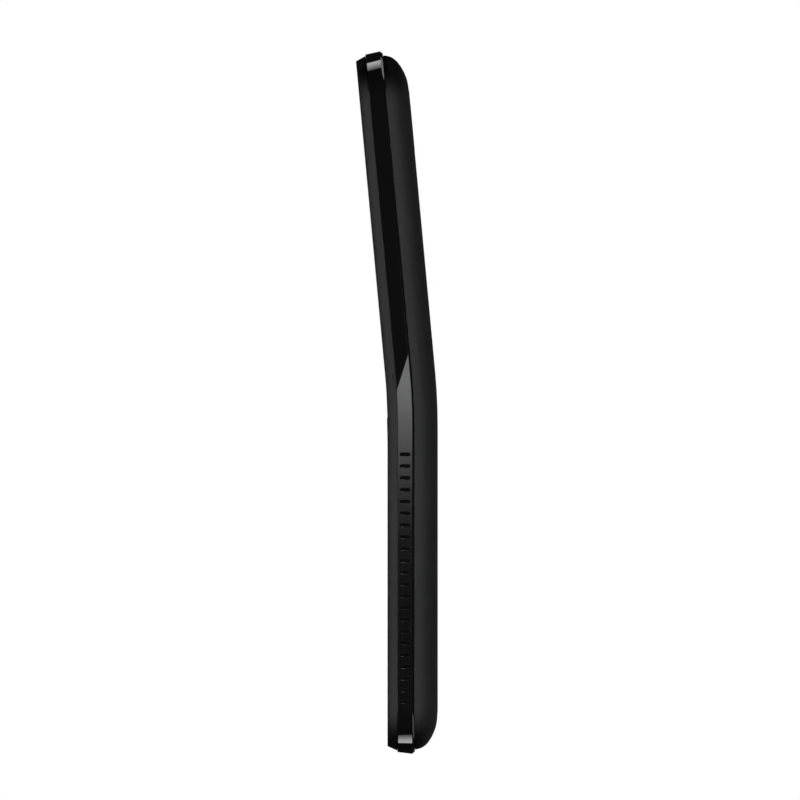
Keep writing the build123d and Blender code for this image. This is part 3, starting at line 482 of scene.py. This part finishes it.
def addDustSeal(name, toward):
    seamStrip = copyNode("side_band", name)
    bandTop = max(vertex.co.z for vertex in seamStrip.data.vertices)
    pickNothing("FACE")
    for face in seamStrip.data.polygons:
        fromEnd = min(face.center.z, bandTop - face.center.z)
        face.select = face.normal.y * toward < seamShadeFill["facing"] or fromEnd > seamShadeFill["reach"]
    bpy.ops.object.mode_set(mode="EDIT")
    bpy.ops.mesh.delete(type="FACE")
    bpy.ops.object.mode_set(mode="OBJECT")
    corners = [face for face in seamStrip.data.polygons if abs(face.center.x) > seamShadeFill["aside"]]
    byHeight = sorted(corners, key=lambda face: face.center.z)  # the corners are clear of the port
    for face in (byHeight[0], byHeight[-1]):
        face.select = True
    bpy.ops.object.mode_set(mode="EDIT")
    bpy.ops.mesh.select_linked()  # the outer strips, not the floor of the groove
    bpy.ops.mesh.select_all(action="INVERT")
    bpy.ops.mesh.delete(type="FACE")
    bpy.ops.mesh.select_all(action="SELECT")
    bpy.ops.mesh.extrude_region_shrink_fatten(TRANSFORM_OT_shrink_fatten={"value": seamShadeFill["thick"]})
    closeEdit()
    # near-black finish: painted shade in the parting seam
    return finishPiece(seamStrip, "phone", "foam_black")


addDustSeal("seam_shade_fill_front", -1)
addDustSeal("seam_shade_fill_back", 1)
print("parting gaps sealed")


# grip trims: a rolled lip round every slot and a near-black sheet behind them, painted shade inside the slots
slotLip = dict(count=22, pitch=2.15 * mm, first=9.45 * mm, depth=1.492 * mm, length=2.05 * mm,
               width=0.76 * mm, bead=0.055 * mm, around=40, across=10)
gripShadeSheet = dict(thick=0.02 * mm, width=2.3 * mm, margin=1.2 * mm, edgeShare=1 / 3, steps=2)


def addSlotLips(side, nodeName):
    low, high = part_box(nodeName)
    face = high.x if side > 0 else low.x
    bead = slotLip["bead"]
    clearSelection()
    bpy.ops.mesh.primitive_torus_add(
        major_radius=slotLip["width"] / 2 - bead / 2, minor_radius=bead, major_segments=slotLip["around"],
        minor_segments=slotLip["across"], rotation=(0, math.radians(90), 0))
    lip = bpy.context.object
    applyPlace(lip)
    reach = (slotLip["length"] - slotLip["width"]) / 2
    for way in (-1, 1):  # the ring is drawn out to the slot's length
        pickNothing("VERT")
        for vertex in lip.data.vertices:
            vertex.select = vertex.co.y * way > 0
        bpy.ops.object.mode_set(mode="EDIT")
        bpy.ops.transform.translate(value=(0, way * reach, 0))
        bpy.ops.object.mode_set(mode="OBJECT")
    lip.location = (face - side * bead, slotLip["depth"], slotLip["first"])
    applyPlace(lip)
    lips = [lip]
    for step in range(1, slotLip["count"]):
        copy = lip.copy()
        copy.data = lip.data.copy()
        bpy.context.scene.collection.objects.link(copy)
        copy.location.z = step * slotLip["pitch"]
        applyPlace(copy)
        lips.append(copy)
    clearSelection()
    for copy in lips:
        copy.select_set(True)
    bpy.context.view_layer.objects.active = lip
    bpy.ops.object.join()
    bpy.ops.object.shade_smooth()
    lip.name = "slot_lips_" + nodeName.split("_")[-1]
    return finishPiece(lip, bodyOf[nodeName], slotOf[nodeName])


# a near-black sheet on the back of the trim: painted shade seen through the slots
def addLining(side, nodeName):
    low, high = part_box(nodeName)
    back = low.x if side > 0 else high.x
    slotRun = slotLip["pitch"] * (slotLip["count"] - 1)
    clearSelection()
    bpy.ops.mesh.primitive_cube_add(size=1)
    shadeSheet = bpy.context.object
    shadeSheet.location = (back - side * gripShadeSheet["thick"], slotLip["depth"], slotLip["first"] + slotRun / 2)
    shadeSheet.scale = (gripShadeSheet["thick"], gripShadeSheet["width"],
                    slotRun + slotLip["width"] + 2 * gripShadeSheet["margin"])
    applyPlace(shadeSheet)
    rounding = shadeSheet.modifiers.new("rounding", "BEVEL")  # soft edges, as on a cut film
    rounding.width = gripShadeSheet["thick"] * gripShadeSheet["edgeShare"]
    rounding.segments = gripShadeSheet["steps"]
    bpy.ops.object.modifier_apply(modifier=rounding.name)
    shadeSheet.name = "grip_shade_sheet_" + nodeName.split("_")[-1]
    # near-black finish: painted shade inside the slots
    return finishPiece(shadeSheet, bodyOf[nodeName], "foam_black")


for side, nodeName in ((1, "grip_trim_right"), (-1, "grip_trim_left")):
    addSlotLips(side, nodeName)
    addLining(side, nodeName)
print("grip slots lined")


# marks on the keys: plain figures and signs in thin ink, turns in degrees
inkBase = dict(rough=(0.3, 0.45), scratch=3800, smudge=260, depth=1e-6)
inkLooks = {
    "paleInk": dict(inkBase, dark=(0.66, 0.66, 0.65), light=(0.78, 0.78, 0.77)),
    "greenInk": dict(inkBase, dark=(0.03, 0.33, 0.07), light=(0.05, 0.42, 0.1)),
    "redInk": dict(inkBase, dark=(0.48, 0.025, 0.02), light=(0.58, 0.04, 0.03)),
}
inks = {name: polishedPlastic(name, look) for name, look in inkLooks.items()}
inkLayer = dict(thick=0.018 * mm, steps=4)
figure = dict(size=4.7 * mm, steps=6)
dash = dict(length=3.6 * mm, width=0.62 * mm, corner=0.25 * mm, keys=("key_soft_left", "key_soft_right"))
arrow = dict(corners=3, radius=0.95 * mm, corner=0.16 * mm,
             turns=dict(nav_up=0, nav_left=90, nav_down=180, nav_right=270))
selectRing = dict(outer=1.7 * mm, width=0.3 * mm, around=64)
receiver = dict(length=5.2 * mm, width=0.95 * mm, foot=0.95 * mm, cells=5, slack=1.01, flat=1,
                corner=0.3 * mm, keys=(("key_call", "greenInk", 40), ("key_end", "redInk", 0)))


def flatMiddle(piece):
    places = [vertex.co for vertex in piece.data.vertices]
    return [(min(place[way] for place in places) + max(place[way] for place in places)) / 2 for way in (0, 1)]


def placeMark(piece, nodeName, ink, turn=0):
    low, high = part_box(nodeName)
    across, along = flatMiddle(piece)
    piece.location = (-across, -along, 0)
    applyPlace(piece)
    piece.rotation_euler.z = math.radians(turn)
    applyPlace(piece)
    piece.rotation_euler.x = math.radians(90)  # from lying flat to facing the front
    piece.location = ((low.x + high.x) / 2, low.y, (low.z + high.z) / 2)
    applyPlace(piece)
    piece.name = "mark_" + nodeName
    return finishPiece(piece, bodyOf[nodeName], "led_white", inks[ink])


def thicken(piece, corner=0):
    makeActive(piece)
    editAll()
    if corner:
        bpy.ops.mesh.bevel(offset=corner, segments=inkLayer["steps"], affect="VERTICES")
        bpy.ops.mesh.select_all(action="SELECT")
    bpy.ops.transform.translate(value=(0, 0, -inkLayer["thick"]))
    extrudeAll(2 * inkLayer["thick"])
    closeEdit()
    return piece


def addFigure(sign):
    clearSelection()
    bpy.ops.object.text_add()
    piece = bpy.context.object
    piece.data.body = sign
    piece.data.size = figure["size"]
    piece.data.extrude = inkLayer["thick"]
    piece.data.resolution_u = figure["steps"]
    bpy.ops.object.convert(target="MESH")
    piece = bpy.context.object
    editAll()
    bpy.ops.mesh.remove_doubles(threshold=weld)
    closeEdit()
    return piece


def addDash():
    return thicken(addPlate(dash["length"], dash["width"]), dash["corner"])


def addArrow():
    clearSelection()
    bpy.ops.mesh.primitive_circle_add(vertices=arrow["corners"], radius=arrow["radius"], fill_type="NGON")
    return thicken(bpy.context.object, arrow["corner"])


def addReceiver():
    clearSelection()
    bpy.ops.mesh.primitive_grid_add(x_subdivisions=receiver["cells"], y_subdivisions=1, size=1)
    piece = bpy.context.object
    piece.scale = (receiver["length"], receiver["width"], 1)
    applyPlace(piece)
    pickNothing("EDGE")
    footStart = receiver["length"] / 2 - receiver["slack"] * receiver["length"] / receiver["cells"]
    for edge in piece.data.edges:
        ends = [piece.data.vertices[index].co for index in edge.vertices]
        edge.select = all(end.y < 0 and abs(end.x) > footStart for end in ends)
    bpy.ops.object.mode_set(mode="EDIT")
    bpy.ops.mesh.extrude_region_move(TRANSFORM_OT_translate={"value": (0, -receiver["foot"], 0)})
    bpy.ops.mesh.select_mode(type="VERT")
    bpy.ops.mesh.select_all(action="SELECT")
    bpy.ops.mesh.dissolve_limited(angle_limit=math.radians(receiver["flat"]))
    bpy.ops.object.mode_set(mode="OBJECT")
    return thicken(piece, receiver["corner"])


signs = {"key_star": "*", "key_hash": "#"}
signs.update({f"key_{number}": str(number) for number in range(10)})
marks = [placeMark(addFigure(sign), nodeName, "paleInk") for nodeName, sign in signs.items()]
marks += [placeMark(addDash(), nodeName, "paleInk") for nodeName in dash["keys"]]
marks += [placeMark(addArrow(), nodeName, "paleInk", turn) for nodeName, turn in arrow["turns"].items()]
marks += [placeMark(thicken(addFlatRing(selectRing)), "nav_select", "paleInk")]
marks += [placeMark(addReceiver(), nodeName, ink, turn) for nodeName, ink, turn in receiver["keys"]]
print("keys marked:", len(marks))


# upper half: the bend leans it forward, so its back looks a little upwards
bend = dict(angle=5.3)
lean = math.radians(bend["angle"])
backward = Vector((0, math.cos(lean), math.sin(lean)))
upward = Vector((0, -math.sin(lean), math.cos(lean)))
faceBack = (lean - math.radians(90), 0, 0)  # from lying flat to facing the back


def backPlane(nodeName):
    return max(vertex.co.dot(backward) for vertex in nodes[nodeName].data.vertices)


def onBack(nodeName, across, along, level):
    centre = middle(nodeName)
    return Vector((centre.x + across, 0, 0)) + upward * (centre.dot(upward) + along) + backward * level


# rear cover: a trim ring round the camera window, gauze behind the sound slots
cameraRing = dict(outer=4.2 * mm, width=0.75 * mm, around=96, deep=0.4 * mm, proud=0.02 * mm,
                  near=8.4 * mm, edge=0.06 * mm, steps=3, smooth=40)
soundGauze = dict(width=9.6 * mm, length=9.2 * mm, thick=0.1 * mm, above=0.3 * mm, corner=1.2 * mm, steps=6)


def addCameraRing():
    ring = addFlatRing(cameraRing)
    editAll()
    extrudeAll(-cameraRing["deep"])
    closeEdit()
    ring.rotation_euler = faceBack
    window = middle("camera_window")
    crown = max(vertex.co.dot(backward) for vertex in nodes["rear_cover"].data.vertices
                if (vertex.co - window).length < cameraRing["near"])
    ring.location = onBack("camera_window", 0, 0, crown + cameraRing["proud"])
    applyPlace(ring)
    rounding = ring.modifiers.new("rounding", "BEVEL")
    rounding.width = cameraRing["edge"]
    rounding.segments = cameraRing["steps"]
    rounding.limit_method = "ANGLE"
    bpy.ops.object.modifier_apply(modifier=rounding.name)
    bpy.ops.object.shade_smooth_by_angle(angle=math.radians(cameraRing["smooth"]))
    ring.name = "camera_ring"
    return finishPiece(ring, "cover", "grip_metal")


def addSoundGauze():
    gauze = addPlate(soundGauze["width"], soundGauze["length"])
    editAll()
    bpy.ops.mesh.bevel(offset=soundGauze["corner"], segments=soundGauze["steps"], affect="VERTICES")
    extrudeAll(soundGauze["thick"])
    closeEdit()
    gauze.rotation_euler = faceBack
    gauze.location = onBack("loudspeaker", 0, 0, backPlane("loudspeaker") + soundGauze["above"])
    applyPlace(gauze)
    gauze.name = "sound_gauze"
    return finishPiece(gauze, "cover", "steel_mesh")


addCameraRing()
addSoundGauze()
print("rear cover dressed")


# main board: two chips and rows of small parts on its back, placed from the board's middle
chip = dict(places=((-14.5 * mm, -4 * mm), (14.5 * mm, -4 * mm)), width=7 * mm, length=7 * mm, high=0.9 * mm,
            edge=0.12 * mm, steps=2, facing=0.99, rim=0.5 * mm, dip=0.05 * mm)
tiny = dict(starts=(-16 * mm, 11 * mm), columns=3, columnPitch=2.6 * mm, firstRow=16.6 * mm, rows=3,
            rowPitch=2.2 * mm, width=1.6 * mm, length=0.8 * mm, high=0.6 * mm, edge=0.06 * mm, steps=2,
            slots=("connector_black", "flex_amber", "flex_amber"))
boardBack = backPlane("main_board")


def addBlock(look, across, along):
    clearSelection()
    bpy.ops.mesh.primitive_cube_add(size=1)
    block = bpy.context.object
    block.scale = (look["width"], look["length"], look["high"])
    applyPlace(block)
    editAll()
    bpy.ops.mesh.bevel(offset=look["edge"], segments=look["steps"], affect="EDGES")
    bpy.ops.object.mode_set(mode="OBJECT")
    block.rotation_euler = faceBack
    block.location = onBack("main_board", across, along, boardBack + look["high"] / 2)
    return block


def addChip(number, across, along):
    block = addBlock(chip, across, along)
    pickNothing("FACE")
    for face in block.data.polygons:
        broad = face.area > chip["width"] * chip["length"] / 2
        face.select = broad and face.normal.z > chip["facing"]
    bpy.ops.object.mode_set(mode="EDIT")
    bpy.ops.mesh.inset(thickness=chip["rim"])
    bpy.ops.transform.translate(value=(0, 0, -chip["dip"]), orient_type="LOCAL")
    bpy.ops.mesh.select_mode(type="VERT")
    bpy.ops.object.mode_set(mode="OBJECT")
    applyPlace(block)
    block.name = f"board_chip_{number}"
    return finishPiece(block, "phone", "connector_black")


def addTiny(number, across, along):
    block = addBlock(tiny, across, along)
    applyPlace(block)
    block.name = f"board_part_{number}"
    return finishPiece(block, "phone", tiny["slots"][number % len(tiny["slots"])])


for number, (across, along) in enumerate(chip["places"]):
    addChip(number, across, along)
tinySpots = [(start + column * tiny["columnPitch"], tiny["firstRow"] + row * tiny["rowPitch"])
             for start in tiny["starts"] for column in range(tiny["columns"]) for row in range(tiny["rows"])]
for number, (across, along) in enumerate(tinySpots):
    addTiny(number, across, along)
print("main board dressed")


# studio: a camera square to the side, soft panels, a dark room for gloss, a white ground
camera = dict(width=145.8 * mm, side=0.574 * mm, height=64.5 * mm, distance=0.5, nearest=0.01)
bpy.ops.object.camera_add(location=(camera["distance"], camera["side"], camera["height"]),
                          rotation=(math.radians(90), 0, math.radians(90)))
sideCamera = bpy.context.object
sideCamera.data.type = "ORTHO"
sideCamera.data.ortho_scale = camera["width"]
sideCamera.data.clip_start = camera["nearest"]
bpy.context.scene.camera = sideCamera

# matte panels light the surfaces, gloss panels are only reflected in them
openSpread = 180  # degrees, for a panel that isn't a beam
sideBeam = dict(away=0.15, level=63.5 * mm, width=0.06, height=0.116, power=0.021, lights="matte",
                spread=3.2)  # a narrow beam, in degrees
facePanel = dict(back=-0.68, away=0.18, level=64.5 * mm, width=0.1, height=0.12, power=6.5, lights="matte")
sheenPanel = dict(back=-0.2, away=0.42, level=0.5, width=0.5, height=0.4, power=0.35, lights="gloss")
trimCard = dict(away=0.25, top=90 * mm, width=0.05, height=5 * mm, glow=0.5, lights="gloss",
                shares=(1, 1, 1, 0.98, 0.84, 0.58, 0.36, 0.18, 0.05))  # graded from its upper end down
lipStrip = dict(reach=0.15, side=0.05, lift=0.6, width=0.3, height=0.06, power=0.16, lights="gloss")
endStrip = dict(lift=0.7, width=48 * mm, height=50 * mm, slope=-0.11, glow=1.55, lights="gloss",
                starts=((1, -100 * mm, -169 * mm), (-1, -38 * mm, -105 * mm)),  # above and below the phone
                shares=(1, 1, 0.93, 0.78, 0.62, 0.48, 0.33, 0.2))  # graded away from the phone


def addPanel(name, place, aim, look):
    data = bpy.data.lights.new(name, "AREA")
    data.shape = "RECTANGLE"
    data.size = look["width"]
    data.size_y = look["height"]
    data.energy = look["power"]
    data.spread = math.radians(look.get("spread", openSpread))
    lamp = bpy.data.objects.new(name, data)
    bpy.context.scene.collection.objects.link(lamp)
    lamp.location = place
    lamp.rotation_euler = (Vector(aim) - Vector(place)).to_track_quat("-Z", "Y").to_euler()
    lamp.visible_camera = False
    lamp.visible_diffuse = look["lights"] != "gloss"
    lamp.visible_glossy = look["lights"] != "matte"
    return lamp


def addGraded(name, look, start, run, facing):  # a row of panels, each with its share of the glow
    for step, share in enumerate(look["shares"]):
        place = start + run * (step + 0.5)
        power = math.pi * look["width"] * look["height"] * look["glow"] * share
        addPanel(name, place, place + facing, dict(look, power=power))


beamPlace = Vector((sideBeam["away"], 0, sideBeam["level"]))
addPanel("sideBeam", beamPlace, beamPlace - Vector((1, 0, 0)), sideBeam)
lipPlace = Vector((lipStrip["reach"], lipStrip["side"], camera["height"] + lipStrip["lift"]))
addPanel("lipStrip", lipPlace, lipPlace - Vector((0, 0, 1)), lipStrip)
for side in (-1, 1):
    for name, look in (("facePanel", facePanel), ("sheenPanel", sheenPanel)):
        addPanel(name, (look["back"], side * look["away"], look["level"]), (0, 0, camera["height"]), look)
    cardTop = Vector((side * trimCard["away"], 0, trimCard["top"]))
    addGraded("trimCard", trimCard, cardTop, Vector((0, 0, -trimCard["height"])), Vector((-side, 0, 0)))
for way, reach, depth in endStrip["starts"]:
    stripStart = Vector((reach, depth, camera["height"] + way * endStrip["lift"]))
    stripRun = Vector((endStrip["width"], endStrip["width"] * endStrip["slope"], 0))
    addGraded("endStrip", endStrip, stripStart, stripRun, Vector((0, 0, -way)))


def seenInGloss(piece, name, glow):  # a stage cloth that only reflections show
    piece.name = name
    cloth = bpy.data.materials.new(name + "Cloth")
    cloth.use_nodes = True
    shader = cloth.node_tree.nodes["Principled BSDF"]
    shader.inputs["Base Color"].default_value = plainBlack
    shader.inputs["Specular IOR Level"].default_value = 0
    shader.inputs["Emission Color"].default_value = plainWhite
    shader.inputs["Emission Strength"].default_value = glow
    piece.data.materials.append(cloth)
    for ray in ("camera", "diffuse", "transmission", "volume_scatter", "shadow"):
        setattr(piece, "visible_" + ray, False)


tent = dict(radius=1.3, glow=0.012)
clearSelection()
bpy.ops.mesh.primitive_uv_sphere_add(radius=tent["radius"], location=(0, 0, camera["height"]))
seenInGloss(bpy.context.object, "blackTent", tent["glow"])

floorSheen = dict(radius=0.45, slices=12, drop=2 * mm, gap=0.45, glow=0.2)  # open toward the sides
clearSelection()
bpy.ops.mesh.primitive_circle_add(vertices=floorSheen["slices"], radius=floorSheen["radius"],
                                  fill_type="TRIFAN", location=(0, 0, -floorSheen["drop"]))
sheenFloor = bpy.context.object
pickNothing("FACE")
for face in sheenFloor.data.polygons:
    face.select = abs(face.center.y) < floorSheen["gap"] * abs(face.center.x)
bpy.ops.object.mode_set(mode="EDIT")
bpy.ops.mesh.delete(type="FACE")
bpy.ops.object.mode_set(mode="OBJECT")
seenInGloss(sheenFloor, "sheenFloor", floorSheen["glow"])


def seenDirectly(tree):
    path = addNode(tree, "ShaderNodeLightPath").outputs
    shiny = combine(tree, "MAXIMUM", path["Is Camera Ray"], path["Is Glossy Ray"])
    return combine(tree, "MAXIMUM", shiny, path["Is Transmission Ray"])


def mixGround(tree, share, lit, shown, output):  # what lights the phone, and what is shown round it
    mix = addNode(tree, "ShaderNodeMixShader")
    tree.links.new(share, mix.inputs[0])
    tree.links.new(lit.outputs[0], mix.inputs[1])
    tree.links.new(shown.outputs[0], mix.inputs[2])
    tree.links.new(mix.outputs[0], tree.nodes[output].inputs["Surface"])


floor = dict(size=3, color=(0.86, 0.86, 0.86), rough=0.9, white=0.85)
clearSelection()
bpy.ops.mesh.primitive_plane_add(size=floor["size"])
paleFloor = bpy.context.object
paleFloor.name = "paleFloor"
floorPaint = bpy.data.materials.new("floorPaint")
floorPaint.use_nodes = True
floorTree = floorPaint.node_tree
floorShader = floorTree.nodes["Principled BSDF"]
floorShader.inputs["Base Color"].default_value = (*floor["color"], 1)
floorShader.inputs["Roughness"].default_value = floor["rough"]
floorShader.inputs["Specular IOR Level"].default_value = 0
floorGlow = addNode(floorTree, "ShaderNodeEmission")
floorShare = spread(floorTree, seenDirectly(floorTree), 0, floor["white"])
mixGround(floorTree, floorShare, floorShader, floorGlow, "Material Output")
paleFloor.data.materials.append(floorPaint)
paleFloor.visible_glossy = False
paleFloor.visible_shadow = False

ground = dict(fill=0.02)
world = bpy.data.worlds.new("studioGround")
bpy.context.scene.world = world
world.use_nodes = True
worldTree = world.node_tree
fill = worldTree.nodes["Background"]
fill.inputs["Strength"].default_value = ground["fill"]
fill.inputs["Color"].default_value = plainWhite
whiteGround = addNode(worldTree, "ShaderNodeBackground")
whiteGround.inputs["Color"].default_value = plainWhite
mixGround(worldTree, seenDirectly(worldTree), fill, whiteGround, "World Output")
bpy.context.scene.view_settings.view_transform = "Standard"
print("studio built")
